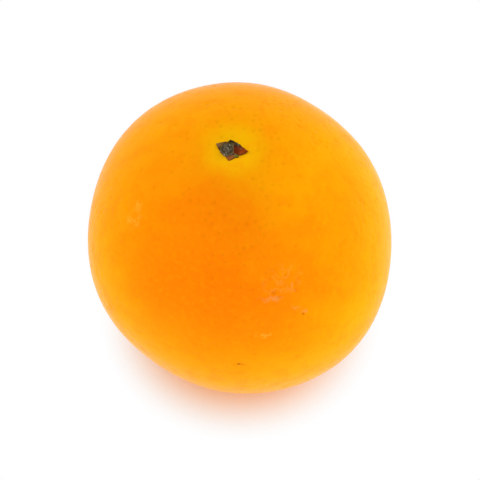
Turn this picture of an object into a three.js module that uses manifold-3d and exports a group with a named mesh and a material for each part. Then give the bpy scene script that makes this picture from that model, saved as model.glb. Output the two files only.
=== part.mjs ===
// A whole ripe orange, resting on the small flat spot at its blossom end.
// Two pieces: the fruit, which grew as one solid, and the dried calyx button that the stem left on top of it.
// Millimetres, +Z up. The origin is the middle of the flat spot, and the stem end is at the top.

import * as THREE from "three";
import { mergeVertices } from "three/addons/utils/BufferGeometryUtils.js";
import Module from "manifold-3d";

// ---- Driving dimensions ----

const MEAN_RADIUS = 37.2; // of the fruit's girth
const TALLNESS = 0.02; // how much longer than the mean radius the fruit is towards its poles
const CENTRE_HEIGHT = 36.9; // the fruit's middle above the surface it rests on
const FLAT_BLEND = 0.25; // height over which the flat spot rounds into the flank

// The girth isn't a true circle: a broad oval, with three fainter swellings on it.
const GIRTH_SWELLINGS = [
  { lobes: 2, swell: 0.0251, crest: 125.7 },
  { lobes: 3, swell: 0.0045, crest: 77 },
  { lobes: 4, swell: 0.0055, crest: 30.7 },
  { lobes: 6, swell: 0.0055, crest: 20.9 },
];

const STEM_X = -1.7; // the stem end lies a little to the left of the axis
const STEM_Y = 0;
const DIMPLE_DEPTH = 1.3; // the shallow hollow round the stem end
const DIMPLE_WIDTH = 5.5;

const RINGS = 48; // faces of the fruit from pole to pole, and round it
const SECTORS = 64;

// The calyx has five sepals of unequal length. Angles are in degrees from +X. Reach is from the stem's middle
// to the sepal's tip, and notch is from there to the corner that it shares with the next sepal.
const SEPALS = [
  { angle: -13, reach: 3.8, notch: 2.1 },
  { angle: 100, reach: 2.8, notch: 2.6 },
  { angle: 157, reach: 3.9, notch: 2.4 },
  { angle: 254, reach: 3.0, notch: 2.6 },
  { angle: 300, reach: 2.6, notch: 2.5 },
];
const SEPAL_SHOULDER = 0.25; // how far towards the notch, in angle, a sepal keeps its width
const CALYX_THICKNESS = 0.9; // above the peel at the stem's middle
const CALYX_BEVEL = 0.3;
const SEAT_GAP = 0.3; // between the calyx and the peel under it
const STUB_RADIUS = 1.15; // the broken end of the stem, left of the calyx's middle
const STUB_HEIGHT = 0.4;
const STUB_TAPER = 0.85; // its top's radius, as a share of its foot's
const STUB_SHIFT = -1; // from the calyx's middle, along X

// ---- Helpers ----

const wasm = await Module();
wasm.setup();

const smoothMax = (a, b, blend) => {
  const share = THREE.MathUtils.clamp(0.5 + (a - b) / (2 * blend), 0, 1);
  return THREE.MathUtils.lerp(b, a, share) + blend * share * (1 - share);
};

// The same geometry with each corner held once, which a solid needs.
function welded(geometry) {
  const bare = geometry.clone();
  bare.deleteAttribute("normal");
  bare.deleteAttribute("uv");
  return mergeVertices(bare, 1e-4);
}

function solidFrom(geometry) {
  const closed = welded(geometry);
  return new wasm.Manifold(
    new wasm.Mesh({
      numProp: 3,
      vertProperties: closed.attributes.position.array,
      triVerts: new Uint32Array(closed.index.array),
    }),
  );
}

function geometryFrom(solid) {
  const mesh = solid.getMesh();
  const geometry = new THREE.BufferGeometry();
  geometry.setAttribute("position", new THREE.BufferAttribute(mesh.vertProperties, 3));
  geometry.setIndex(new THREE.BufferAttribute(mesh.triVerts, 1));
  geometry.computeVertexNormals();
  return geometry;
}

// ---- The fruit ----

// How far the peel stands from the fruit's middle in a unit direction, as a share of the mean radius.
function plumpness(direction) {
  const around = Math.atan2(direction.y, direction.x);
  const flank = direction.x ** 2 + direction.y ** 2;
  const swelling = GIRTH_SWELLINGS.reduce(
    (sum, { lobes, swell, crest }) =>
      sum + swell * Math.cos(lobes * (around - THREE.MathUtils.degToRad(crest))),
    0,
  );
  return 1 + TALLNESS * direction.z ** 2 + flank * swelling;
}

// The point of the peel in a unit direction from the fruit's middle.
function peelPoint(direction) {
  const point = direction.clone().multiplyScalar(MEAN_RADIUS * plumpness(direction));
  if (point.z > 0) {
    const fromStem = Math.hypot(point.x - STEM_X, point.y - STEM_Y);
    point.z -= DIMPLE_DEPTH * Math.exp(-((fromStem / DIMPLE_WIDTH) ** 2));
  }
  point.z = smoothMax(point.z + CENTRE_HEIGHT, 0, FLAT_BLEND);
  return point;
}

function fruitGeometry() {
  const geometry = new THREE.SphereGeometry(1, SECTORS, RINGS).rotateX(Math.PI / 2);
  const corners = geometry.attributes.position;
  const direction = new THREE.Vector3();
  for (let i = 0; i < corners.count; i++) {
    direction.fromBufferAttribute(corners, i).normalize();
    corners.setXYZ(i, ...peelPoint(direction));
  }
  return welded(geometry);
}

// ---- The calyx button ----

const stemDirection = new THREE.Vector3(STEM_X, STEM_Y, MEAN_RADIUS).normalize();
const seatHeight = peelPoint(stemDirection).z;

// The calyx's outline, drawn inside its bevel. Each sepal curves from its tip to the notch and on to the
// next tip.
function starShape() {
  const at = (angle, reach) => {
    const turn = THREE.MathUtils.degToRad(angle);
    return [(reach - CALYX_BEVEL) * Math.cos(turn), (reach - CALYX_BEVEL) * Math.sin(turn)];
  };
  const shape = new THREE.Shape();
  shape.moveTo(...at(SEPALS[0].angle, SEPALS[0].reach));
  SEPALS.forEach(({ angle, reach, notch }, i) => {
    const next = SEPALS[(i + 1) % SEPALS.length];
    const nextAngle = next.angle + (next.angle < angle ? 360 : 0);
    const shoulder = (nextAngle - angle) * SEPAL_SHOULDER;
    const notchPoint = at((angle + nextAngle) / 2, notch);
    shape.quadraticCurveTo(...at(angle + shoulder, (reach + notch) / 2), ...notchPoint);
    shape.quadraticCurveTo(
      ...at(nextAngle - shoulder, (next.reach + notch) / 2),
      ...at(nextAngle, next.reach),
    );
  });
  return shape;
}

// A star that reaches down into the fruit, cut from below by the fruit's own surface raised by the gap.
function calyxGeometry(fruit) {
  const rootDepth = 1;
  const star = new THREE.ExtrudeGeometry(starShape(), {
    depth: rootDepth + CALYX_THICKNESS - CALYX_BEVEL,
    bevelThickness: CALYX_BEVEL,
    bevelSize: CALYX_BEVEL,
    bevelSegments: 3,
    curveSegments: 4,
  }).translate(STEM_X, STEM_Y, seatHeight - rootDepth);
  const stub = new THREE.CylinderGeometry(STUB_RADIUS * STUB_TAPER, STUB_RADIUS, STUB_HEIGHT * 2, 16)
    .rotateX(Math.PI / 2)
    .translate(STEM_X + STUB_SHIFT, STEM_Y, seatHeight + CALYX_THICKNESS);
  const raisedFruit = solidFrom(fruit).translate(0, 0, SEAT_GAP);
  return geometryFrom(solidFrom(star).add(solidFrom(stub)).subtract(raisedFruit));
}

// ---- The orange ----

const peelMaterial = new THREE.MeshStandardMaterial({ color: 0xf98f06, roughness: 0.5, metalness: 0 });
const calyxMaterial = new THREE.MeshStandardMaterial({ color: 0x5f4f38, roughness: 0.6, metalness: 0 });

const fruitShape = fruitGeometry();
fruitShape.computeVertexNormals();
const fruit = new THREE.Mesh(fruitShape, peelMaterial);
fruit.name = "fruit";

const calyx = new THREE.Mesh(calyxGeometry(fruitShape), calyxMaterial);
calyx.name = "calyx_button";

const orange = new THREE.Group();
orange.add(fruit, calyx);

export default orange;
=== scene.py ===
import math

import bpy
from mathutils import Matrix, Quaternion, Vector


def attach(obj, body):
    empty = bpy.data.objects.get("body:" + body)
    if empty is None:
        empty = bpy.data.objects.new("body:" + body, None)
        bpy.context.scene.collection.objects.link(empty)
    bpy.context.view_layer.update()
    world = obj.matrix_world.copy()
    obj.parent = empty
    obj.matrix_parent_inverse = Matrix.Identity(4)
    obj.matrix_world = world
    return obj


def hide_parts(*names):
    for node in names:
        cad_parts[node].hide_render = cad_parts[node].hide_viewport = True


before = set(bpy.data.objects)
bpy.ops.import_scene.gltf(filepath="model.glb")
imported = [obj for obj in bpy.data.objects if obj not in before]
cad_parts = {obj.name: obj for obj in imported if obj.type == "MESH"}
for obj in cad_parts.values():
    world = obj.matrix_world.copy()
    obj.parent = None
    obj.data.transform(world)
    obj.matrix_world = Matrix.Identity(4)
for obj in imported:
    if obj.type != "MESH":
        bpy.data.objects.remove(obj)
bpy.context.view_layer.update()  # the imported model: frame["bodies"], frame["nodes"], frame["joints"], frame["record"]


# ---- The peel ----
# The outside of a ripe sweet orange: a thin waxy rind over white pith, grown in one with the flesh under it.
# It is a slightly oval ball with a shallow hollow round the stem, and a small flat where it rests.
# Oil glands lie just under the wax, and each has sunk a little as the rind dried, which pits the whole skin.

MM = 0.001  # a millimetre in the frame's metres
MEAN_RADIUS = 37.2 * MM
TALLNESS = 0.02  # how much further than the mean radius the poles are, as a share of it
CENTRE_HEIGHT = 36.9 * MM
# The girth isn't a true circle: lobes round it, how much each swells as a share of the mean radius, and the
# bearing of its crest in degrees.
GIRTH_SWELLINGS = (
    (2, 0.0251, 125.7),
    (3, 0.0045, 77),
    (4, 0.0055, 30.7),
    (6, 0.0055, 20.9),
)
FLAT_BLEND = 0.5 * MM  # height over which the flat rounds into the flank
STEM = Vector((-1.7, 0, 0)) * MM  # the stem end lies a little to the left of the axis
DIMPLE_DEPTH = 1.3 * MM
DIMPLE_WIDTH = 5.5 * MM

GLAND_SPACING = 1.5 * MM  # at its least
GLAND_RADIUS = 1.0 * MM  # of the largest glands, as the depth is
GLAND_DEPTH = 0.14 * MM
SMALLEST_GLAND = 0.35  # its width and depth, as shares of the largest's
GLAND_RARITY = 1.5  # above 1, large glands are rarer than small ones
POINTS_THROWN = 4e6  # on each square metre, of which the spacing drops most
SWELL_DEPTH = 0.16 * MM  # soft unevenness of the whole rind
SWELL_WIDTH = 9 * MM
FURROW_DEPTH = 0.12 * MM  # shallow folds that run from the stem end down the shoulder
FURROWS = 9
FURROW_WANDER = 5.0  # radians that the unevenness shifts a furrow
FURROW_START = 3 * MM  # from the stem, where the furrows begin and where they are full
FURROW_FULL = 7 * MM
SCAR_RADIUS = 1.6 * MM  # where the style dropped off, in the middle of the flat
SCAR_DEPTH = 0.5 * MM
PITTED_ABOVE = 0.1 * MM  # the flat is smooth; pits start at this height and are full at the next
PITTED_FULLY = 1.5 * MM
SCAR_TOP = 10 * MM  # the scar's hollow lies lower than this, not at the stem end
FACES_PER_SIDE = 128  # along each side of the six patches that the ball is made of
GLAND_SEED = 7


def linear(colour):
    """An sRGB hex colour as linear red, green, blue and alpha."""
    parts = [int(colour[i:i + 2], 16) / 255 for i in (1, 3, 5)]
    return [p / 12.92 if p <= 0.04045 else ((p + 0.055) / 1.055) ** 2.4 for p in parts] + [1]


def add(tree, kind, inputs=None, **settings):
    """Adds a node with its settings, and gives each named input a value or a link from a node's socket."""
    node = tree.nodes.new(kind)
    for name, value in settings.items():
        setattr(node, name, value)
    for name, value in (inputs or {}).items():
        if isinstance(value, bpy.types.NodeSocket):
            tree.links.new(value, node.inputs[name])
        else:
            node.inputs[name].default_value = value
    return node


def node_tree(name, sizes):
    """An empty Geometry Nodes tree whose inputs are the named sizes and a material, with its input node."""
    tree = bpy.data.node_groups.new(name, "GeometryNodeTree")
    for size, kind in sizes.items():
        tree.interface.new_socket(size, in_out="INPUT", socket_type=kind)
    tree.interface.new_socket("Material", in_out="INPUT", socket_type="NodeSocketMaterial")
    tree.interface.new_socket("Geometry", in_out="OUTPUT", socket_type="NodeSocketGeometry")
    return tree, add(tree, "NodeGroupInput").outputs


def finish_tree(tree, geometry, material):
    """Ends a tree: what it made becomes real, smooth and coated with the material."""
    real = add(tree, "GeometryNodeRealizeInstances", {"Geometry": geometry})
    smooth = add(tree, "GeometryNodeSetShadeSmooth", {"Geometry": real.outputs[0]})
    coated = add(tree, "GeometryNodeSetMaterial", {"Geometry": smooth.outputs[0], "Material": material})
    add(tree, "NodeGroupOutput", {"Geometry": coated.outputs[0]})


def grown(name, tree, values):
    """The plain mesh object that a tree makes from these values."""
    holder = bpy.data.objects.new(name, bpy.data.meshes.new(name))
    bpy.context.scene.collection.objects.link(holder)
    modifier = holder.modifiers.new("grow", "NODES")
    modifier.node_group = tree
    for socket in tree.interface.items_tree:
        if socket.in_out == "INPUT":
            modifier[socket.identifier] = values[socket.name]
    evaluated = holder.evaluated_get(bpy.context.evaluated_depsgraph_get())
    mesh = bpy.data.meshes.new_from_object(evaluated)
    holder.modifiers.remove(modifier)
    holder.data = mesh
    return holder


number, whole, vector = "NodeSocketFloat", "NodeSocketInt", "NodeSocketVector"
VMATH, MATH = "ShaderNodeVectorMath", "ShaderNodeMath"
NOISE, RANGE, MIX = "ShaderNodeTexNoise", "ShaderNodeMapRange", "ShaderNodeMix"
peel_tree, size = node_tree(
    "grow_peel",
    {
        "Vertices per side": whole,
        "Mean radius": number,
        "Tallness": number,
        "Centre height": number,
        "Flat blend": number,
        "Stem": vector,
        "Dimple depth": number,
        "Dimple width": number,
        "Gland spacing": number,
        "Gland radius": number,
        "Gland depth": number,
        "Swell depth": number,
        "Swell width": number,
        "Furrow depth": number,
        "Furrows": number,
        "Scar radius": number,
        "Scar depth": number,
        "Seed": whole,
    },
)
t = peel_tree

# A cube's six gridded sides blown up into a ball, evenly enough that every face is about half a millimetre.
side = size["Vertices per side"]
cube = add(
    t, "GeometryNodeMeshCube", {"Size": (2, 2, 2), "Vertices X": side, "Vertices Y": side, "Vertices Z": side}
)
corner = add(t, "GeometryNodeInputPosition").outputs[0]
angles = add(t, VMATH, {0: corner, "Scale": math.pi / 4}, operation="SCALE")
evened = add(t, VMATH, {0: angles.outputs[0]}, operation="TANGENT")
ray = add(t, VMATH, {0: evened.outputs[0]}, operation="NORMALIZE").outputs[0]
along = add(t, "ShaderNodeSeparateXYZ", {0: ray}).outputs
around = add(t, MATH, {0: along["Y"], 1: along["X"]}, operation="ARCTAN2").outputs[0]
polar = add(t, MATH, {0: along["Z"], 1: along["Z"]}, operation="MULTIPLY").outputs[0]
flank = add(t, MATH, {0: 1.0, 1: polar}, operation="SUBTRACT").outputs[0]
swelling = 0.0
for lobes, swell, crest in GIRTH_SWELLINGS:
    turned = add(t, MATH, {0: around, 1: lobes, 2: -lobes * math.radians(crest)}, operation="MULTIPLY_ADD")
    wave = add(t, MATH, {0: turned.outputs[0]}, operation="COSINE")
    swelling = add(t, MATH, {0: wave.outputs[0], 1: swell, 2: swelling}, operation="MULTIPLY_ADD").outputs[0]
taller = add(t, MATH, {0: polar, 1: size["Tallness"], 2: 1.0}, operation="MULTIPLY_ADD").outputs[0]
plump = add(t, MATH, {0: flank, 1: swelling, 2: taller}, operation="MULTIPLY_ADD").outputs[0]
reach = add(t, MATH, {0: plump, 1: size["Mean radius"]}, operation="MULTIPLY").outputs[0]
ball = add(t, VMATH, {0: ray, "Scale": reach}, operation="SCALE").outputs[0]

# The hollow round the stem end, on the upper half only.
from_stem = add(t, VMATH, {0: ball, 1: size["Stem"]}, operation="SUBTRACT").outputs[0]
level = add(t, VMATH, {0: from_stem, 1: (1, 1, 0)}, operation="MULTIPLY").outputs[0]
stem_distance = add(t, VMATH, {0: level}, operation="LENGTH").outputs["Value"]
widths = add(t, MATH, {0: stem_distance, 1: size["Dimple width"]}, operation="DIVIDE").outputs[0]
widths_squared = add(t, MATH, {0: widths, 1: widths}, operation="MULTIPLY").outputs[0]
fade = add(t, MATH, {0: widths_squared, 1: -1.0}, operation="MULTIPLY").outputs[0]
hollow = add(t, MATH, {0: fade}, operation="EXPONENT").outputs[0]
upper = add(t, MATH, {0: along["Z"], 1: 0.0}, operation="GREATER_THAN").outputs[0]
hollow_here = add(t, MATH, {0: hollow, 1: upper}, operation="MULTIPLY").outputs[0]
sunk = add(t, MATH, {0: hollow_here, 1: size["Dimple depth"]}, operation="MULTIPLY").outputs[0]

# Standing on its flat: the middle comes up to its height, and what would lie below the surface is levelled.
place = add(t, "ShaderNodeSeparateXYZ", {0: ball}).outputs
dropped = add(t, MATH, {0: place["Z"], 1: sunk}, operation="SUBTRACT").outputs[0]
raised = add(t, MATH, {0: dropped, 1: size["Centre height"]}, operation="ADD").outputs[0]
levelled = add(t, MATH, {0: raised, 1: 0.0, 2: size["Flat blend"]}, operation="SMOOTH_MAX").outputs[0]
peel_point = add(t, "ShaderNodeCombineXYZ", {"X": place["X"], "Y": place["Y"], "Z": levelled}).outputs[0]
smooth_fruit = add(
    t, "GeometryNodeSetPosition", {"Geometry": cube.outputs["Mesh"], "Position": peel_point}
).outputs[0]

# The oil glands: points strewn evenly over the skin. Each sinks by its own depth, and some are small.
glands = add(
    t,
    "GeometryNodeDistributePointsOnFaces",
    {
        "Mesh": smooth_fruit,
        "Distance Min": size["Gland spacing"],
        "Density Max": POINTS_THROWN,
        "Seed": size["Seed"],
    },
    distribute_method="POISSON",
).outputs["Points"]
nearness = add(t, "GeometryNodeProximity", {"Geometry": glands}, target_element="POINTS").outputs["Distance"]
gland_index = add(t, "GeometryNodeSampleNearest", {"Geometry": glands}, domain="POINT").outputs["Index"]
chance = add(
    t, "FunctionNodeRandomValue", {2: 0.0, 3: 1.0, "ID": gland_index, "Seed": size["Seed"]}, data_type="FLOAT"
).outputs[1]
few_large = add(t, MATH, {0: chance, 1: GLAND_RARITY}, operation="POWER").outputs[0]
strength = add(
    t, MATH, {0: few_large, 1: 1 - SMALLEST_GLAND, 2: SMALLEST_GLAND}, operation="MULTIPLY_ADD"
).outputs[0]
pit_radius = add(t, MATH, {0: size["Gland radius"], 1: strength}, operation="MULTIPLY").outputs[0]
pit = add(
    t,
    RANGE,
    {"Value": nearness, "From Min": pit_radius, "From Max": 0.0, "To Max": strength},
    interpolation_type="SMOOTHSTEP",
).outputs[0]

# Soft unevenness, the shoulder's furrows and the scar under the flat. All of it sinks into the smooth shape.
here = add(t, "GeometryNodeInputPosition").outputs[0]
per_swell = add(t, MATH, {0: 1.0, 1: size["Swell width"]}, operation="DIVIDE").outputs[0]
uneven = add(t, NOISE, {"Vector": here, "Scale": per_swell, "Roughness": 0.4}).outputs[0]
bearing_from_stem = add(t, "ShaderNodeSeparateXYZ", {0: level}).outputs
stem_bearing = add(
    t, MATH, {0: bearing_from_stem["Y"], 1: bearing_from_stem["X"]}, operation="ARCTAN2"
).outputs[0]
wander = add(t, MATH, {0: uneven, 1: FURROW_WANDER}, operation="MULTIPLY").outputs[0]
folds = add(t, MATH, {0: stem_bearing, 1: size["Furrows"], 2: wander}, operation="MULTIPLY_ADD").outputs[0]
ripple = add(t, MATH, {0: folds}, operation="SINE").outputs[0]
ripple_depth = add(t, MATH, {0: ripple, 1: 0.5, 2: 0.5}, operation="MULTIPLY_ADD").outputs[0]
shoulder = add(
    t,
    RANGE,
    {"Value": stem_distance, "From Min": FURROW_START, "From Max": FURROW_FULL},
    interpolation_type="SMOOTHSTEP",
).outputs[0]
furrow_here = add(t, MATH, {0: ripple_depth, 1: hollow_here}, operation="MULTIPLY").outputs[0]
furrow = add(t, MATH, {0: furrow_here, 1: shoulder}, operation="MULTIPLY").outputs[0]
parts = (
    (pit, size["Gland depth"]),
    (uneven, size["Swell depth"]),
    (furrow, size["Furrow depth"]),
)
sinking = 0.0
for shape, depth in parts:
    sinking = add(t, MATH, {0: shape, 1: depth, 2: sinking}, operation="MULTIPLY_ADD").outputs[0]

# Nothing but the scar sinks on the flat itself.
height = add(t, "ShaderNodeSeparateXYZ", {0: here}).outputs["Z"]
off_the_flat = add(t, RANGE, {"Value": height, "From Min": PITTED_ABOVE, "From Max": PITTED_FULLY}).outputs[0]
free_sinking = add(t, MATH, {0: sinking, 1: off_the_flat}, operation="MULTIPLY").outputs[0]
from_axis = add(t, VMATH, {0: here, 1: (1, 1, 0)}, operation="MULTIPLY").outputs[0]
axis_distance = add(t, VMATH, {0: from_axis}, operation="LENGTH").outputs["Value"]
scar = add(
    t,
    RANGE,
    {"Value": axis_distance, "From Min": size["Scar radius"], "From Max": 0.0},
    interpolation_type="SMOOTHSTEP",
).outputs[0]
below = add(t, MATH, {0: height, 1: SCAR_TOP}, operation="LESS_THAN").outputs[0]
scar_here = add(t, MATH, {0: scar, 1: below}, operation="MULTIPLY").outputs[0]
total = add(
    t, MATH, {0: scar_here, 1: size["Scar depth"], 2: free_sinking}, operation="MULTIPLY_ADD"
).outputs[0]
inwards = add(t, MATH, {0: total, 1: -1.0}, operation="MULTIPLY").outputs[0]
normal = add(t, "GeometryNodeInputNormal").outputs[0]
offset = add(t, VMATH, {0: normal, "Scale": inwards}, operation="SCALE").outputs[0]

# How deep in a gland each point lies is kept for the material.
marked = add(
    t,
    "GeometryNodeStoreNamedAttribute",
    {"Geometry": smooth_fruit, "Name": "gland", "Value": pit},
    data_type="FLOAT",
    domain="POINT",
).outputs[0]
pitted = add(t, "GeometryNodeSetPosition", {"Geometry": marked, "Offset": offset}).outputs[0]
finish_tree(t, pitted, size["Material"])

# Waxed rind: to the eye a saturated orange with hardly any shine of its own, and a pale gleam at its rim.
RIND_IOR = 1.07  # far under wax's 1.4, so that hardly any white light lies over the colour
RIND_ORANGE = "#FFA202"
DEEP_ORANGE = "#FF7E02"
PALE_ORANGE = "#FFAC04"
# Deeper and paler patches, partly the skin's own tone and partly painted light: the deeper orange on the front
# and up its shoulder is painted shade where less light falls, and the paler lower right flank is painted light.
# Bearing and elevation of the middle, how far it reaches in degrees, and how strongly.
DEEP_TONE_AND_PAINTED_SHADE = (
    (-100, 24, 57, 1.0),
    (-139, 54, 41, 0.44),
    (-117, 65, 13, 0.25),
    (-29, 38, 31, 0.44),
    (95, -18, 50, 0.6),
)
PALE_TONE_AND_PAINTED_LIGHT = ((16, -15, 73, 1.0),)
PATCH_DRIFT = 0.22  # how far the patches' edges stray, as a share of the radius
DRIFT_SIZE = 9 * MM

peel_material = bpy.data.materials.new("waxed_orange_rind")
peel_material.use_nodes = True
m = peel_material.node_tree
m.nodes.clear()
place = add(m, "ShaderNodeTexCoord").outputs["Object"]
centred = add(m, "ShaderNodeMapping", {"Vector": place, "Location": (0, 0, -CENTRE_HEIGHT)}).outputs[0]
outward = add(m, VMATH, {0: centred}, operation="NORMALIZE").outputs[0]
currents = add(m, NOISE, {"Vector": centred, "Scale": 1 / DRIFT_SIZE}).outputs["Color"]
drift = add(m, VMATH, {0: currents, 1: (0.5, 0.5, 0.5)}, operation="SUBTRACT").outputs[0]
strayed = add(m, VMATH, {0: drift, 1: (PATCH_DRIFT,) * 3, 2: outward}, operation="MULTIPLY_ADD").outputs[0]


def direction(bearing, elevation):
    """The unit vector with this bearing round the fruit and this elevation, both in degrees."""
    turn, tilt = math.radians(bearing), math.radians(elevation)
    return Vector((math.cos(turn) * math.cos(tilt), math.sin(turn) * math.cos(tilt), math.sin(tilt)))


def facing_patch(bearing, elevation, spread, depth):
    """How strongly a patch colours each point, from its depth in the middle to nothing at its spread; the patches are
    partly painted light and shade.
    """
    facing = add(m, VMATH, {0: strayed, 1: direction(bearing, elevation)}, operation="DOT_PRODUCT")
    edge = math.cos(math.radians(spread))
    return add(
        m,
        RANGE,
        {"Value": facing.outputs["Value"], "From Min": edge, "From Max": 1, "To Max": depth},
        interpolation_type="SMOOTHSTEP",
    ).outputs[0]


plain = 1.0
# Painted shade, partly: the deeper patches deepen the orange on the front, where less light falls.
for bearing, elevation, spread, depth in DEEP_TONE_AND_PAINTED_SHADE:
    deepened = facing_patch(bearing, elevation, spread, depth)
    left = add(m, MATH, {0: 1.0, 1: deepened}, operation="SUBTRACT").outputs[0]
    plain = add(m, MATH, {0: left, 1: plain}, operation="MULTIPLY").outputs[0]
skin = add(
    m, MIX, {"Factor": plain, 6: linear(DEEP_ORANGE), 7: linear(RIND_ORANGE)}, data_type="RGBA"
).outputs[2]

# Paler from the shoulder down past the girth, partly the skin's own tone and partly painted light thrown up by
# the white floor, and the plain orange again on the underside. Each starts and is full at these heights above
# the girth, as shares of the radius.
PALING_AND_PAINTED_BOUNCE = (0.66, -0.35)
UNDERSIDE = (-0.5, -0.9)
upward = add(m, "ShaderNodeSeparateXYZ", {0: strayed}).outputs["Z"]
paled = add(
    m,
    RANGE,
    {"Value": upward, "From Min": PALING_AND_PAINTED_BOUNCE[0], "From Max": PALING_AND_PAINTED_BOUNCE[1]},
    interpolation_type="SMOOTHSTEP",
).outputs[0]
skin = add(m, MIX, {"Factor": paled, 6: skin, 7: linear(PALE_ORANGE)}, data_type="RGBA").outputs[2]
# Painted light, partly: the pale patch lightens the lit right flank below the girth.
for bearing, elevation, spread, depth in PALE_TONE_AND_PAINTED_LIGHT:
    paled = facing_patch(bearing, elevation, spread, depth)
    skin = add(m, MIX, {"Factor": paled, 6: skin, 7: linear(PALE_ORANGE)}, data_type="RGBA").outputs[2]
underneath = add(
    m,
    RANGE,
    {"Value": upward, "From Min": UNDERSIDE[0], "From Max": UNDERSIDE[1], "To Max": 0.9},
    interpolation_type="SMOOTHSTEP",
).outputs[0]
skin = add(m, MIX, {"Factor": underneath, 6: skin, 7: linear(RIND_ORANGE)}, data_type="RGBA").outputs[2]

# A yellower ring round the stem end, on the upper half.
HALO_YELLOW = "#FFC004"
HALO_EDGE = 9.5 * MM
HALO_FULL = 3.5 * MM
HALO_STRENGTH = 0.8
from_stem = add(m, VMATH, {0: place, 1: STEM}, operation="SUBTRACT").outputs[0]
level = add(m, VMATH, {0: from_stem, 1: (1, 1, 0)}, operation="MULTIPLY").outputs[0]
stem_distance = add(m, VMATH, {0: level}, operation="LENGTH").outputs["Value"]
ring = add(
    m,
    RANGE,
    {"Value": stem_distance, "From Min": HALO_EDGE, "From Max": HALO_FULL, "To Max": HALO_STRENGTH},
    interpolation_type="SMOOTHSTEP",
).outputs[0]
above = add(m, MATH, {0: upward, 1: 0.0}, operation="GREATER_THAN").outputs[0]
halo = add(m, MATH, {0: ring, 1: above}, operation="MULTIPLY").outputs[0]
skin = add(m, MIX, {"Factor": halo, 6: skin, 7: linear(HALO_YELLOW)}, data_type="RGBA").outputs[2]

# Mottling in two sizes: the size, the noise's detail and the level where it is full, its strength and colour.
MOTTLES = (
    (3.5 * MM, 3.0, 0.8, 0.3, DEEP_ORANGE),
    (1.1 * MM, 2.0, 0.9, 0.25, PALE_ORANGE),
)
for mottle_size, detail, full, mottle_strength, colour in MOTTLES:
    clouds = add(m, NOISE, {"Vector": centred, "Scale": 1 / mottle_size, "Detail": detail}).outputs[0]
    mottle = add(
        m,
        RANGE,
        {"Value": clouds, "From Min": 0.4, "From Max": full, "To Max": mottle_strength},
        interpolation_type="SMOOTHSTEP",
    ).outputs[0]
    skin = add(m, MIX, {"Factor": mottle, 6: skin, 7: linear(colour)}, data_type="RGBA").outputs[2]

# The oil in each gland, which shows darker through the wax, and painted shade in its pit: the darkening follows the
# pit's depth.
GLAND_OIL_AND_PIT_SHADE = 0.075
gland = add(m, "ShaderNodeAttribute", attribute_name="gland").outputs["Fac"]
oil_and_pit_shade = add(
    m, RANGE, {"Value": gland, "From Min": 0.15, "From Max": 0.9}, interpolation_type="SMOOTHSTEP"
).outputs[0]
clear = add(m, MATH, {0: oil_and_pit_shade, 1: -GLAND_OIL_AND_PIT_SHADE, 2: 1.0}, operation="MULTIPLY_ADD").outputs[0]
skin = add(m, VMATH, {0: skin, "Scale": clear}, operation="SCALE").outputs[0]

MARK_DEPTH = 8 * MM  # more than the skin swells in or out of the mean radius


def mark(bearing, elevation, length, width, turn=0):
    """How far a point is from the middle of an oval mark on the skin, where 1 is on the oval's edge."""
    outward_here = direction(bearing, elevation)
    facing_out = outward_here.to_track_quat("Z", "Y") @ Quaternion((0, 0, 1), math.radians(turn))
    oval = add(
        m,
        "ShaderNodeMapping",
        {
            "Vector": centred,
            "Location": outward_here * MEAN_RADIUS,
            "Rotation": facing_out.to_euler(),
            "Scale": (length * MM, width * MM, MARK_DEPTH),
        },
        vector_type="TEXTURE",
    ).outputs[0]
    return add(m, VMATH, {0: oval}, operation="LENGTH").outputs["Value"]


# Old scuffs, where the skin rubbed on the tree: pale dry cork in a broken net between the glands.
# Bearing, elevation, half length and half width in millimetres, turn, strength, and how tan each is.
SCUFF_TAN = "#EA9246"
SCUFF_YELLOW = "#FDB436"
SCUFFS = (
    (-71, 40.5, 6.2, 4.8, 20, 0.28, 0.55),
    (-75.8, 35.2, 4.4, 1.2, -4, 0.64, 1.0),
    (-66.5, 38.4, 1.3, 2.4, 0, 0.5, 0.9),
    (-64.2, 27.2, 0.8, 0.8, 0, 0.78, 1.0),
    (-67.2, 29.3, 2.8, 0.8, -50, 0.42, 0.8),
    (-157.2, 48.2, 2.2, 1.8, -20, 0.66, 0.0),
    (-154, 44.4, 2.6, 3.2, 0, 0.5, 0.1),
    (-81, 21, 3.0, 1.0, 5, 0.55, 0.0),
    (26, 58.2, 1.2, 0.8, 30, 0.4, 0.8),
    (70, 15, 4.5, 2.2, 35, 0.5, 0.6),
    (128, 38, 2.2, 1.2, -25, 0.5, 0.3),
    (14, -22, 3.2, 1.4, 10, 0.5, 0.6),
)
NET_CELL = 1.4 * MM
NET_GAP = 1.6 * MM  # between the breaks in the net
crack = add(
    m, "ShaderNodeTexVoronoi", {"Vector": centred, "Scale": 1 / NET_CELL}, feature="DISTANCE_TO_EDGE"
).outputs["Distance"]
net = add(
    m, RANGE, {"Value": crack, "From Min": 0.2, "From Max": 0.04}, interpolation_type="SMOOTHSTEP"
).outputs[0]
gaps = add(m, NOISE, {"Vector": centred, "Scale": 1 / NET_GAP}).outputs[0]
unbroken = add(
    m, RANGE, {"Value": gaps, "From Min": 0.44, "From Max": 0.54}, interpolation_type="SMOOTHSTEP"
).outputs[0]
broken_net = add(m, MATH, {0: net, 1: unbroken}, operation="MULTIPLY").outputs[0]
scuffed = 0.0
tan = 0.0
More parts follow.
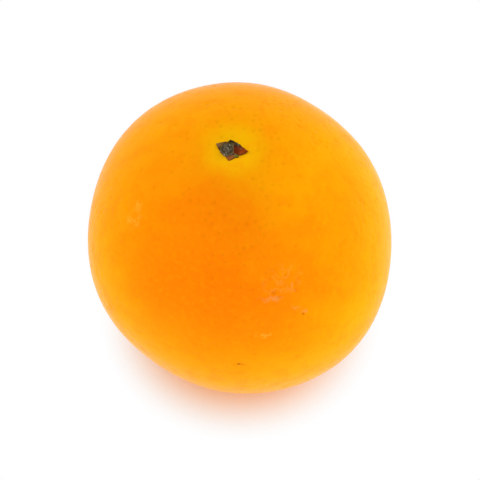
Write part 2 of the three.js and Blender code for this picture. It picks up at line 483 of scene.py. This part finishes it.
for bearing, elevation, length, width, turn, depth, tanned in SCUFFS:
    from_scuff = mark(bearing, elevation, length, width, turn)
    scuffed_here = add(
        m,
        RANGE,
        {"Value": from_scuff, "From Min": 1.0, "From Max": 0.4, "To Max": depth},
        interpolation_type="SMOOTHSTEP",
    ).outputs[0]
    tan_here = add(
        m,
        RANGE,
        {"Value": from_scuff, "From Min": 1.2, "From Max": 1.0, "To Max": tanned},
        interpolation_type="SMOOTHSTEP",
    ).outputs[0]
    scuffed = add(m, MATH, {0: scuffed_here, 1: scuffed}, operation="MAXIMUM").outputs[0]
    tan = add(m, MATH, {0: tan_here, 1: tan}, operation="MAXIMUM").outputs[0]

# Where a scuff is worn deepest, the net closes into one patch.
worn = add(
    m, RANGE, {"Value": scuffed, "From Min": 0.5, "From Max": 0.9}, interpolation_type="SMOOTHSTEP"
).outputs[0]
rubbed = add(m, MATH, {0: broken_net, 1: worn}, operation="MAXIMUM").outputs[0]
cork = add(m, MATH, {0: scuffed, 1: rubbed}, operation="MULTIPLY").outputs[0]
cork_colour = add(
    m, MIX, {"Factor": tan, 6: linear(SCUFF_YELLOW), 7: linear(SCUFF_TAN)}, data_type="RGBA"
).outputs[2]
skin = add(m, MIX, {"Factor": cork, 6: skin, 7: cork_colour}, data_type="RGBA").outputs[2]

# Specks: punctures that healed brown, each a fraction of a millimetre across.
# Bearing, elevation, half length and half width in millimetres, and strength of each.
SPECK_BROWN = "#9A4E08"
SPECKS = (
    (-90.5, 7.0, 0.5, 0.35, 0.75),
    (-88.9, 6.7, 1.2, 0.2, 0.3),
    (-75.6, 37.4, 0.8, 0.8, 0.2),
    (-73.6, 35.4, 0.7, 0.5, 0.18),
    (-66.1, 36.1, 0.5, 0.5, 0.25),
    (-65.4, 26.4, 0.4, 0.5, 0.45),
    (40, 30, 0.4, 0.4, 0.7),
    (115, 5, 0.5, 0.4, 0.7),
    (160, -15, 0.4, 0.3, 0.6),
)
for bearing, elevation, length, width, depth in SPECKS:
    speck = add(
        m,
        RANGE,
        {"Value": mark(bearing, elevation, length, width), "From Min": 1.3, "From Max": 0.3, "To Max": depth},
        interpolation_type="SMOOTHSTEP",
    ).outputs[0]
    skin = add(m, MIX, {"Factor": speck, 6: skin, 7: linear(SPECK_BROWN)}, data_type="RGBA").outputs[2]

# The dry brown button in the middle of the flat, left by the flower's style, with a ragged edge.
SCAR_BROWN = "#8A6236"
SCAR_RAGGEDNESS = 0.9 * MM
across = add(m, VMATH, {0: place, 1: (1, 1, 0)}, operation="MULTIPLY").outputs[0]
from_middle = add(m, VMATH, {0: across}, operation="LENGTH").outputs["Value"]
tatters = add(m, NOISE, {"Vector": centred, "Scale": 1 / (1 * MM)}).outputs[0]
scar_edge = add(
    m, MATH, {0: tatters, 1: SCAR_RAGGEDNESS, 2: from_middle}, operation="MULTIPLY_ADD"
).outputs[0]
button = add(
    m,
    RANGE,
    {"Value": scar_edge, "From Min": SCAR_RADIUS + 0.6 * MM, "From Max": SCAR_RADIUS - 0.2 * MM},
    interpolation_type="SMOOTHSTEP",
).outputs[0]
under = add(m, MATH, {0: upward, 1: 0.0}, operation="LESS_THAN").outputs[0]
scarred = add(m, MATH, {0: button, 1: under}, operation="MULTIPLY").outputs[0]
skin = add(m, MIX, {"Factor": scarred, 6: skin, 7: linear(SCAR_BROWN)}, data_type="RGBA").outputs[2]

# The finish: waxy with duller patches, matt where it is corky, and grained between the glands.
PATCH_SIZE = 5 * MM
LEAST_ROUGHNESS = 0.16
PATCH_ROUGHNESS = 0.12  # what the dullest patches add to it
CORK_ROUGHNESS = 0.35  # what cork adds to it
GRAIN_SIZE = 0.7 * MM  # the rind's own grain is finer, and is drawn this coarse so that it shows
GRAIN_DEPTH = 0.03 * MM
CORK_RISE = 0.8  # how much cork stands up, and a gland lies down, as a share of the grain's depth
dry = add(m, MATH, {0: cork, 1: scarred}, operation="MAXIMUM").outputs[0]
patches = add(m, NOISE, {"Vector": centred, "Scale": 1 / PATCH_SIZE}).outputs[0]
dull = add(m, MATH, {0: patches, 1: PATCH_ROUGHNESS, 2: LEAST_ROUGHNESS}, operation="MULTIPLY_ADD").outputs[0]
roughness = add(m, MATH, {0: dry, 1: CORK_ROUGHNESS, 2: dull}, operation="MULTIPLY_ADD").outputs[0]
grain = add(m, NOISE, {"Vector": centred, "Scale": 1 / GRAIN_SIZE}).outputs[0]
grain_height = add(m, MATH, {0: gland, 1: -CORK_RISE, 2: grain}, operation="MULTIPLY_ADD").outputs[0]
raised_grain = add(m, MATH, {0: cork, 1: CORK_RISE, 2: grain_height}, operation="MULTIPLY_ADD").outputs[0]
bump = add(m, "ShaderNodeBump", {"Height": raised_grain, "Strength": 1.0, "Distance": GRAIN_DEPTH}).outputs[0]
rind = add(
    m,
    "ShaderNodeBsdfPrincipled",
    {"Base Color": skin, "Roughness": roughness, "Normal": bump, "IOR": RIND_IOR},
)
add(m, "ShaderNodeOutputMaterial", {"Surface": rind.outputs[0]})

peel = grown(
    "peel",
    peel_tree,
    {
        "Vertices per side": FACES_PER_SIDE + 1,
        "Mean radius": MEAN_RADIUS,
        "Tallness": TALLNESS,
        "Centre height": CENTRE_HEIGHT,
        "Flat blend": FLAT_BLEND,
        "Stem": STEM,
        "Dimple depth": DIMPLE_DEPTH,
        "Dimple width": DIMPLE_WIDTH,
        "Gland spacing": GLAND_SPACING,
        "Gland radius": GLAND_RADIUS,
        "Gland depth": GLAND_DEPTH,
        "Swell depth": SWELL_DEPTH,
        "Swell width": SWELL_WIDTH,
        "Furrow depth": FURROW_DEPTH,
        "Furrows": FURROWS,
        "Scar radius": SCAR_RADIUS,
        "Scar depth": SCAR_DEPTH,
        "Seed": GLAND_SEED,
        "Material": peel_material,
    },
)
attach(peel, "root")
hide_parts("fruit")


# ---- The calyx ----
# What the flower's base and stalk left on the stem end: five short sepals that dried brown and olive against
# the rind, a low corky disc that joins them, and on it the end of the stalk where the fruit broke off.

STALK = Vector((-2.8, -0.1, 0)) * MM  # the stalk sat to the left of the calyx's middle
CRINKLE = 0.16 * MM  # how far the dry skin stands up in folds

# Dried plant tissue: to the eye matt and dark, blotched with what is left of its green, browner along the
# edges, and flecked with pale flakes where its skin has lifted; the flakes are partly painted glints.
TISSUE_IOR = 1.14  # far under plant fibre's 1.5, so that the white room doesn't pale the dark tissue
EDGE_BROWN = "#4E320E"
FLAKE_GREY_AND_PAINTED_GLINT = "#B4AC98"
BLOTCH_SIZE = 1.1 * MM
BLOTCH_SEED = 31.7
FLECK_SIZE = 0.8 * MM
FLECK_SEED = 46.3
GRIT_DEPTH = 0.08 * MM
calyx_material = bpy.data.materials.new("dried_calyx_tissue")
calyx_material.use_nodes = True
c = calyx_material.node_tree
c.nodes.clear()
tissue = add(c, "ShaderNodeAttribute", attribute_name="tissue").outputs["Color"]
edge = add(c, "ShaderNodeAttribute", attribute_name="edge").outputs["Fac"]
pale = add(c, "ShaderNodeAttribute", attribute_name="pale").outputs["Fac"]
spot = add(c, "ShaderNodeTexCoord").outputs["Object"]
blotch = add(
    c,
    NOISE,
    {"Vector": spot, "W": BLOTCH_SEED, "Scale": 1 / BLOTCH_SIZE, "Detail": 3.0},
    noise_dimensions="4D",
).outputs[0]
shade = add(
    c, RANGE, {"Value": blotch, "From Min": 0.3, "From Max": 0.7, "To Min": 0.35, "To Max": 1.35}
).outputs[0]
blotched = add(c, VMATH, {0: tissue, "Scale": shade}, operation="SCALE").outputs[0]
dark_edge = add(
    c,
    RANGE,
    {"Value": edge, "From Min": 0.6, "From Max": 0.95, "To Max": 0.7},
    interpolation_type="SMOOTHSTEP",
).outputs[0]
edged = add(c, MIX, {"Factor": dark_edge, 6: blotched, 7: linear(EDGE_BROWN)}, data_type="RGBA").outputs[2]
fleck = add(
    c,
    NOISE,
    {"Vector": spot, "W": FLECK_SEED, "Scale": 1 / FLECK_SIZE},
    noise_dimensions="4D",
).outputs[0]
# The pale flakes, which also stand as painted glints.
flake = add(
    c, RANGE, {"Value": fleck, "From Min": 0.57, "From Max": 0.68}, interpolation_type="SMOOTHSTEP"
).outputs[0]
pale_flakes_and_glints = add(c, MATH, {0: flake, 1: pale}, operation="MULTIPLY").outputs[0]
dried = add(c, MIX, {"Factor": pale_flakes_and_glints, 6: edged, 7: linear(FLAKE_GREY_AND_PAINTED_GLINT)}, data_type="RGBA").outputs[2]
dullness = add(
    c, RANGE, {"Value": fleck, "From Min": 0.3, "From Max": 0.7, "To Min": 0.8, "To Max": 0.45}
).outputs[0]
grit = add(c, "ShaderNodeBump", {"Height": fleck, "Strength": 1.0, "Distance": GRIT_DEPTH}).outputs[0]
tissue_surface = add(
    c,
    "ShaderNodeBsdfPrincipled",
    {"Base Color": dried, "Roughness": dullness, "Normal": grit, "IOR": TISSUE_IOR},
)
add(c, "ShaderNodeOutputMaterial", {"Surface": tissue_surface.outputs[0]})


def skin_height(tree, body, across, along):
    """The height of the peel's skin straight below a point that is well above the fruit."""
    skin = add(tree, "GeometryNodeObjectInfo", {"Object": body}, transform_space="RELATIVE")
    over = add(tree, "ShaderNodeCombineXYZ", {"X": across, "Y": along, "Z": 100 * MM})
    hit = add(
        tree,
        "GeometryNodeRaycast",
        {
            "Target Geometry": skin.outputs["Geometry"],
            "Source Position": over.outputs[0],
            "Ray Direction": (0, 0, -1),
            "Ray Length": 100 * MM,
        },
    ).outputs["Hit Position"]
    return add(tree, "ShaderNodeSeparateXYZ", {0: hit}).outputs["Z"]


def finish_calyx_tree(tree, mesh, point, tone, edge, paleness, material):
    """Ends a tree whose points keep their tone, edge and paleness for the material and go to their place."""
    kept = (("tissue", tone, "FLOAT_COLOR"), ("edge", edge, "FLOAT"), ("pale", paleness, "FLOAT"))
    for name, value, kind in kept:
        mesh = add(
            tree,
            "GeometryNodeStoreNamedAttribute",
            {"Geometry": mesh, "Name": name, "Value": value},
            data_type=kind,
            domain="POINT",
        ).outputs[0]
    moved = add(tree, "GeometryNodeSetPosition", {"Geometry": mesh, "Position": point}).outputs[0]
    finish_tree(tree, moved, material)


# A sepal: broad at its root and pointed, moulded to the rind, ribbed along its length and crinkled. Its slab
# of points runs out along X from the root, across along Y, and through its thickness along Z.
SEPAL_NARROWING = 0.85  # under 1, the sides stay full and close in late on the tip
SEPAL_BULGE = 0.6  # how much the sides swell out on the way to it
BLUNT_TIP = 0.06  # the tip's width, as a share of the half width
FRAY = 0.5  # how ragged the sides are
THIN_SIDES = 0.55  # the share of its thickness that a sepal loses at its sides
THIN_TIP = 0.6
RIBS = 5
RIB_HEIGHT = 0.16  # as a share of the crinkle
TIP_CURL = 3.0  # the higher, the closer to its tip a sepal starts to lift
SEPAL_SINK = 0.06 * MM  # its root lies a little under the skin
colour_kind = "NodeSocketColor"
sepal_tree, sepal = node_tree(
    "grow_sepal",
    {
        "Peel": "NodeSocketObject",
        "Stem": vector,
        "Bearing": number,
        "Reach": number,
        "Half width": number,
        "Thickness": number,
        "Lift": number,
        "Crinkle": number,
        "Root colour": colour_kind,
        "Tip colour": colour_kind,
        "Seed": number,
    },
)
t = sepal_tree
slab = add(
    t, "GeometryNodeMeshCube", {"Size": (1, 1, 1), "Vertices X": 33, "Vertices Y": 25, "Vertices Z": 4}
)
corner = add(t, "GeometryNodeInputPosition").outputs[0]
part = add(t, "ShaderNodeSeparateXYZ", {0: corner}).outputs
outwards = add(t, MATH, {0: part["X"], 1: 0.5}, operation="ADD").outputs[0]
sideways = add(t, MATH, {0: part["Y"], 1: 2.0}, operation="MULTIPLY").outputs[0]
layer = add(t, MATH, {0: part["Z"], 1: 0.5}, operation="ADD").outputs[0]
wave = add(
    t, NOISE, {"Vector": corner, "W": sepal["Seed"], "Scale": 5.0}, noise_dimensions="4D"
).outputs[0]
crumple = add(t, MATH, {0: wave, 1: 0.5}, operation="SUBTRACT").outputs[0]

# Its outline, laid out from the stem on its bearing.
left_over = add(t, MATH, {0: 1.0, 1: outwards}, operation="SUBTRACT").outputs[0]
narrowing = add(t, MATH, {0: left_over, 1: SEPAL_NARROWING}, operation="POWER").outputs[0]
bulge = add(t, MATH, {0: outwards, 1: SEPAL_BULGE, 2: 1.0}, operation="MULTIPLY_ADD").outputs[0]
outline = add(t, MATH, {0: narrowing, 1: bulge}, operation="MULTIPLY").outputs[0]
blunt = add(t, MATH, {0: outline, 1: BLUNT_TIP}, operation="MAXIMUM").outputs[0]
frayed = add(t, MATH, {0: crumple, 1: FRAY, 2: 1.0}, operation="MULTIPLY_ADD").outputs[0]
ragged = add(t, MATH, {0: blunt, 1: frayed}, operation="MULTIPLY").outputs[0]
half_width = add(t, MATH, {0: ragged, 1: sepal["Half width"]}, operation="MULTIPLY").outputs[0]
reach_out = add(t, MATH, {0: outwards, 1: sepal["Reach"]}, operation="MULTIPLY").outputs[0]
reach_across = add(t, MATH, {0: sideways, 1: half_width}, operation="MULTIPLY").outputs[0]
lying = add(t, "ShaderNodeCombineXYZ", {"X": reach_out, "Y": reach_across}).outputs[0]
turned = add(
    t, "ShaderNodeVectorRotate", {"Vector": lying, "Angle": sepal["Bearing"]}, rotation_type="Z_AXIS"
).outputs[0]
placed = add(t, VMATH, {0: turned, 1: sepal["Stem"]}, operation="ADD").outputs[0]
ground = add(t, "ShaderNodeSeparateXYZ", {0: placed}).outputs

# Its thickness, ribs and folds over the skin, and the lift of its tip.
sidelong = add(t, MATH, {0: sideways, 1: sideways}, operation="MULTIPLY").outputs[0]
thinning = add(t, MATH, {0: sidelong, 1: -THIN_SIDES, 2: 1.0}, operation="MULTIPLY_ADD").outputs[0]
tapering = add(t, MATH, {0: outwards, 1: -THIN_TIP, 2: 1.0}, operation="MULTIPLY_ADD").outputs[0]
thinned = add(t, MATH, {0: thinning, 1: tapering}, operation="MULTIPLY").outputs[0]
thickness = add(t, MATH, {0: thinned, 1: sepal["Thickness"]}, operation="MULTIPLY").outputs[0]
rib_turn = add(t, MATH, {0: sideways, 1: RIBS * math.pi}, operation="MULTIPLY").outputs[0]
rib = add(t, MATH, {0: rib_turn}, operation="COSINE").outputs[0]
ribbed = add(t, MATH, {0: rib, 1: RIB_HEIGHT, 2: crumple}, operation="MULTIPLY_ADD").outputs[0]
folded = add(t, MATH, {0: ribbed, 1: sepal["Crinkle"], 2: thickness}, operation="MULTIPLY_ADD").outputs[0]
lifted_by = add(t, MATH, {0: outwards, 1: TIP_CURL}, operation="POWER").outputs[0]
rise = add(t, MATH, {0: lifted_by, 1: sepal["Lift"], 2: -SEPAL_SINK}, operation="MULTIPLY_ADD").outputs[0]
skin_here = skin_height(t, sepal["Peel"], ground["X"], ground["Y"])
underside = add(t, MATH, {0: skin_here, 1: rise}, operation="ADD").outputs[0]
surface = add(t, MATH, {0: layer, 1: folded, 2: underside}, operation="MULTIPLY_ADD").outputs[0]
sepal_point = add(t, "ShaderNodeCombineXYZ", {"X": ground["X"], "Y": ground["Y"], "Z": surface}).outputs[0]
toned = add(
    t,
    MIX,
    {"Factor": outwards, 6: sepal["Root colour"], 7: sepal["Tip colour"]},
    data_type="RGBA",
).outputs[2]
side_edge = add(t, MATH, {0: sideways}, operation="ABSOLUTE").outputs[0]
finish_calyx_tree(t, slab.outputs["Mesh"], sepal_point, toned, side_edge, 0.2, sepal["Material"])

# Bearing, reach, half width, thickness, lift of the tip, seed, and the colours at the root and at the tip.
SEPALS = (
    ("sepal_right", -13, 3.6, 1.7, 0.55, 0.35, 3, "#480C04", "#BC500E"),
    ("sepal_back", 100, 2.75, 2.4, 0.45, 0.1, 11, "#46442A", "#3E3414"),
    ("sepal_left", 157, 3.9, 2.25, 0.45, 0.3, 5, "#54482E", "#8A6236"),
    ("sepal_front", 254, 3.0, 2.0, 0.45, 0.1, 8, "#5A4A30", "#B8662E"),
    ("sepal_front_right", 300, 2.5, 1.7, 0.5, 0.1, 17, "#6E6A34", "#90842A"),
)
calyx_pieces = [
    grown(
        name,
        sepal_tree,
        {
            "Peel": peel,
            "Stem": STEM,
            "Bearing": math.radians(bearing),
            "Reach": reach * MM,
            "Half width": half_width * MM,
            "Thickness": thickness * MM,
            "Lift": lift * MM,
            "Crinkle": CRINKLE,
            "Root colour": linear(root),
            "Tip colour": linear(tip),
            "Seed": float(seed),
            "Material": calyx_material,
        },
    )
    for name, bearing, reach, half_width, thickness, lift, seed, root, tip in SEPALS
]

# The disc and the stalk's end: low round lumps on the same skin, whose torn bark stands up in a rim. Their
# drum has a radius and a height of 1, and the shares below are of that radius.
RIM_START = 0.45
RIM_TOP = 0.8
SIDE_START = 0.82  # from here out the top rounds down into the side
SIDE_END = 1.05
SIDE_HEIGHT = 0.3  # what is left of the height there
LUMP_SINK = 0.1 * MM
lump_tree, lump = node_tree(
    "grow_lump",
    {
        "Peel": "NodeSocketObject",
        "Stem": vector,
        "Radius": number,
        "Height": number,
        "Rim": number,
        "Crinkle": number,
        "Middle colour": colour_kind,
        "Rim colour": colour_kind,
        "Paleness": number,
        "Seed": number,
    },
)
t = lump_tree
drum = add(
    t,
    "GeometryNodeMeshCylinder",
    {"Vertices": 56, "Side Segments": 5, "Fill Segments": 12, "Radius": 1.0, "Depth": 1.0},
    fill_type="TRIANGLE_FAN",
)
corner = add(t, "GeometryNodeInputPosition").outputs[0]
part = add(t, "ShaderNodeSeparateXYZ", {0: corner}).outputs
layer = add(t, MATH, {0: part["Z"], 1: 0.5}, operation="ADD").outputs[0]
flat_part = add(t, VMATH, {0: corner, 1: (1, 1, 0)}, operation="MULTIPLY").outputs[0]
out = add(t, VMATH, {0: flat_part}, operation="LENGTH").outputs["Value"]
lumps = add(
    t,
    NOISE,
    {"Vector": flat_part, "W": lump["Seed"], "Scale": 2.2, "Detail": 3.0},
    noise_dimensions="4D",
).outputs[0]
crumple = add(t, MATH, {0: lumps, 1: 0.5}, operation="SUBTRACT").outputs[0]
uneven_edge = add(t, MATH, {0: crumple, 1: FRAY, 2: 1.0}, operation="MULTIPLY_ADD").outputs[0]
spread = add(t, MATH, {0: uneven_edge, 1: lump["Radius"]}, operation="MULTIPLY").outputs[0]
flat_place = add(t, VMATH, {0: flat_part, "Scale": spread}, operation="SCALE").outputs[0]
placed = add(t, VMATH, {0: flat_place, 1: lump["Stem"]}, operation="ADD").outputs[0]
ground = add(t, "ShaderNodeSeparateXYZ", {0: placed}).outputs
skin_here = skin_height(t, lump["Peel"], ground["X"], ground["Y"])
rim_up = add(
    t, RANGE, {"Value": out, "From Min": RIM_START, "From Max": RIM_TOP}, interpolation_type="SMOOTHSTEP"
).outputs[0]
side = add(
    t,
    RANGE,
    {"Value": out, "From Min": SIDE_START, "From Max": SIDE_END, "To Min": 1.0, "To Max": SIDE_HEIGHT},
    interpolation_type="SMOOTHSTEP",
).outputs[0]
rimmed = add(t, MATH, {0: rim_up, 1: lump["Rim"], 2: lump["Height"]}, operation="MULTIPLY_ADD").outputs[0]
rough = add(t, MATH, {0: crumple, 1: lump["Crinkle"], 2: rimmed}, operation="MULTIPLY_ADD").outputs[0]
rounded = add(t, MATH, {0: rough, 1: side}, operation="MULTIPLY").outputs[0]
foot = add(t, MATH, {0: skin_here, 1: LUMP_SINK}, operation="SUBTRACT").outputs[0]
surface = add(t, MATH, {0: layer, 1: rounded, 2: foot}, operation="MULTIPLY_ADD").outputs[0]
lump_point = add(t, "ShaderNodeCombineXYZ", {"X": ground["X"], "Y": ground["Y"], "Z": surface}).outputs[0]
toned = add(
    t,
    MIX,
    {"Factor": rim_up, 6: lump["Middle colour"], 7: lump["Rim colour"]},
    data_type="RGBA",
).outputs[2]
finish_calyx_tree(t, drum.outputs["Mesh"], lump_point, toned, 0.0, lump["Paleness"], lump["Material"])

# Radius, height and rim in millimetres, paleness, seed, and the colours in the middle and at the rim.
LUMPS = (
    ("receptacle", 1.65, 0.6, 0.1, 0.7, 7, "#5A4A34", "#62543A"),
    ("stem_stub", 1.0, 1.1, 0.16, 0.8, 16, "#64543E", "#726652"),
)
calyx_pieces += [
    grown(
        name,
        lump_tree,
        {
            "Peel": peel,
            "Stem": STALK,
            "Radius": radius * MM,
            "Height": high * MM,
            "Rim": rim_height * MM,
            "Crinkle": CRINKLE,
            "Middle colour": linear(middle_colour),
            "Rim colour": linear(rim_colour),
            "Paleness": paleness,
            "Seed": float(seed),
            "Material": calyx_material,
        },
    )
    for name, radius, high, rim_height, paleness, seed, middle_colour, rim_colour in LUMPS
]
for piece in calyx_pieces:
    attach(piece, "root")
    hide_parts("calyx_button")


# ---- The studio ----
# A floor of white paper, softboxes and strip lights on stands round it with a glowing room behind them, and
# a camera that looks down on the fruit's shoulder. None of it is part of the fruit.

bpy.context.scene.view_settings.view_transform = "Standard"

# White paper: to the eye flat white. Close to the fruit it is seen in a darker, warm tone: painted shadow and
# painted orange light off the peel, over the shadow the lamps cast. Further out it is seen as plain white.
PAPER_WHITE = "#F3F3F3"
PAPER_PAINTED_WARM_SHADE = "#F3CC96"
SHADOW_REACH = 19 * MM  # from the middle of the fruit, where the paper starts to turn plain white
PLAIN_WHITE = 37 * MM  # and where it is fully so
floor_material = bpy.data.materials.new("white_paper_floor")
floor_material.use_nodes = True
f = floor_material.node_tree
f.nodes.clear()
path = add(f, "ShaderNodeLightPath").outputs
mirrored = add(f, MATH, {0: path["Is Camera Ray"], 1: path["Is Glossy Ray"]}, operation="MAXIMUM").outputs[0]
seen = add(f, MATH, {0: mirrored, 1: path["Is Transmission Ray"]}, operation="MAXIMUM").outputs[0]
spot = add(f, "ShaderNodeTexCoord").outputs["Object"]
distance = add(f, VMATH, {0: spot}, operation="LENGTH").outputs["Value"]
away = add(
    f,
    RANGE,
    {"Value": distance, "From Min": SHADOW_REACH, "From Max": PLAIN_WHITE},
    interpolation_type="SMOOTHSTEP",
).outputs[0]
# Painted shadow and painted orange light: what is seen of the paper takes the darker, warm tone.
tone = add(
    f, MIX, {"Factor": seen, 6: linear(PAPER_WHITE), 7: linear(PAPER_PAINTED_WARM_SHADE)}, data_type="RGBA"
).outputs[2]
paper = add(f, "ShaderNodeBsdfDiffuse", {"Color": tone})
white = add(f, "ShaderNodeEmission", {"Color": (1, 1, 1, 1), "Strength": 1.0})
whitened = add(f, MATH, {0: seen, 1: away}, operation="MULTIPLY").outputs[0]
sweep = add(f, "ShaderNodeMixShader", {0: whitened, 1: paper.outputs[0], 2: white.outputs[0]})
add(f, "ShaderNodeOutputMaterial", {"Surface": sweep.outputs[0]})
bpy.ops.mesh.primitive_circle_add(vertices=96, radius=3, fill_type="NGON")
floor = bpy.context.object
floor.name = "floor"
floor.data.materials.append(floor_material)

# The room: seen as white, and lighting the fruit a little less than that.
ROOM_GLOW = 0.685
world = bpy.data.worlds.new("studio")
bpy.context.scene.world = world
world.use_nodes = True
w = world.node_tree
w.nodes.clear()
path = add(w, "ShaderNodeLightPath").outputs
mirrored = add(w, MATH, {0: path["Is Camera Ray"], 1: path["Is Glossy Ray"]}, operation="MAXIMUM").outputs[0]
seen = add(w, MATH, {0: mirrored, 1: path["Is Transmission Ray"]}, operation="MAXIMUM").outputs[0]
brightness = add(w, RANGE, {"Value": seen, "To Min": ROOM_GLOW, "To Max": 1.0}).outputs[0]
glow = add(w, "ShaderNodeBackground", {"Color": (1, 1, 1, 1), "Strength": brightness})
add(w, "ShaderNodeOutputWorld", {"Surface": glow.outputs[0]})

# The lamps, all turned to the middle of the fruit: bearing and elevation in degrees, width and height in
# metres, and power in watts.
LAMP_DISTANCE = 0.9
LAMPS = (
    ("overhead_softbox", 90, 85, 0.5, 0.5, 0.4),
    ("right_softbox", 45, 25, 0.5, 0.4, 2.4),
    ("left_softbox", 170, 14, 0.4, 0.3, 2.9),
    ("front_strip", 270, 4, 1.2, 0.1, 2.75),
    ("right_strip", 355, 4, 1.0, 0.1, 3.1),
)
middle = Vector((0, 0, CENTRE_HEIGHT))
for name, bearing, elevation, width, height, power in LAMPS:
    light = bpy.data.lights.new(name, "AREA")
    light.shape = "RECTANGLE"
    light.size = width
    light.size_y = height
    light.energy = power
    towards_lamp = direction(bearing, elevation)
    lamp = bpy.data.objects.new(name, light)
    lamp.location = middle + towards_lamp * LAMP_DISTANCE
    lamp.rotation_euler = towards_lamp.to_track_quat("Z", "Y").to_euler()
    lamp.visible_glossy = False  # from across the fruit, its gleam would burn the rim out to white
    bpy.context.scene.collection.objects.link(lamp)

CAMERA_ELEVATION = 57.3  # in degrees, straight in front
CAMERA_DISTANCE = 0.42
FOCAL_LENGTH = 130.1  # in millimetres, as the sensor's width is
SENSOR_WIDTH = 36
FRAME_DROP = 0.0034  # how far the frame is lowered, as a share of its width, to leave the fruit a little high
towards_camera = direction(-90, CAMERA_ELEVATION)
camera = bpy.data.objects.new("camera", bpy.data.cameras.new("camera"))
bpy.context.scene.collection.objects.link(camera)
camera.data.sensor_width = SENSOR_WIDTH
camera.data.lens = FOCAL_LENGTH
camera.data.shift_y = -FRAME_DROP
camera.data.clip_start = 10 * MM
camera.location = middle + towards_camera * CAMERA_DISTANCE
camera.rotation_euler = towards_camera.to_track_quat("Z", "Y").to_euler()
bpy.context.scene.camera = camera
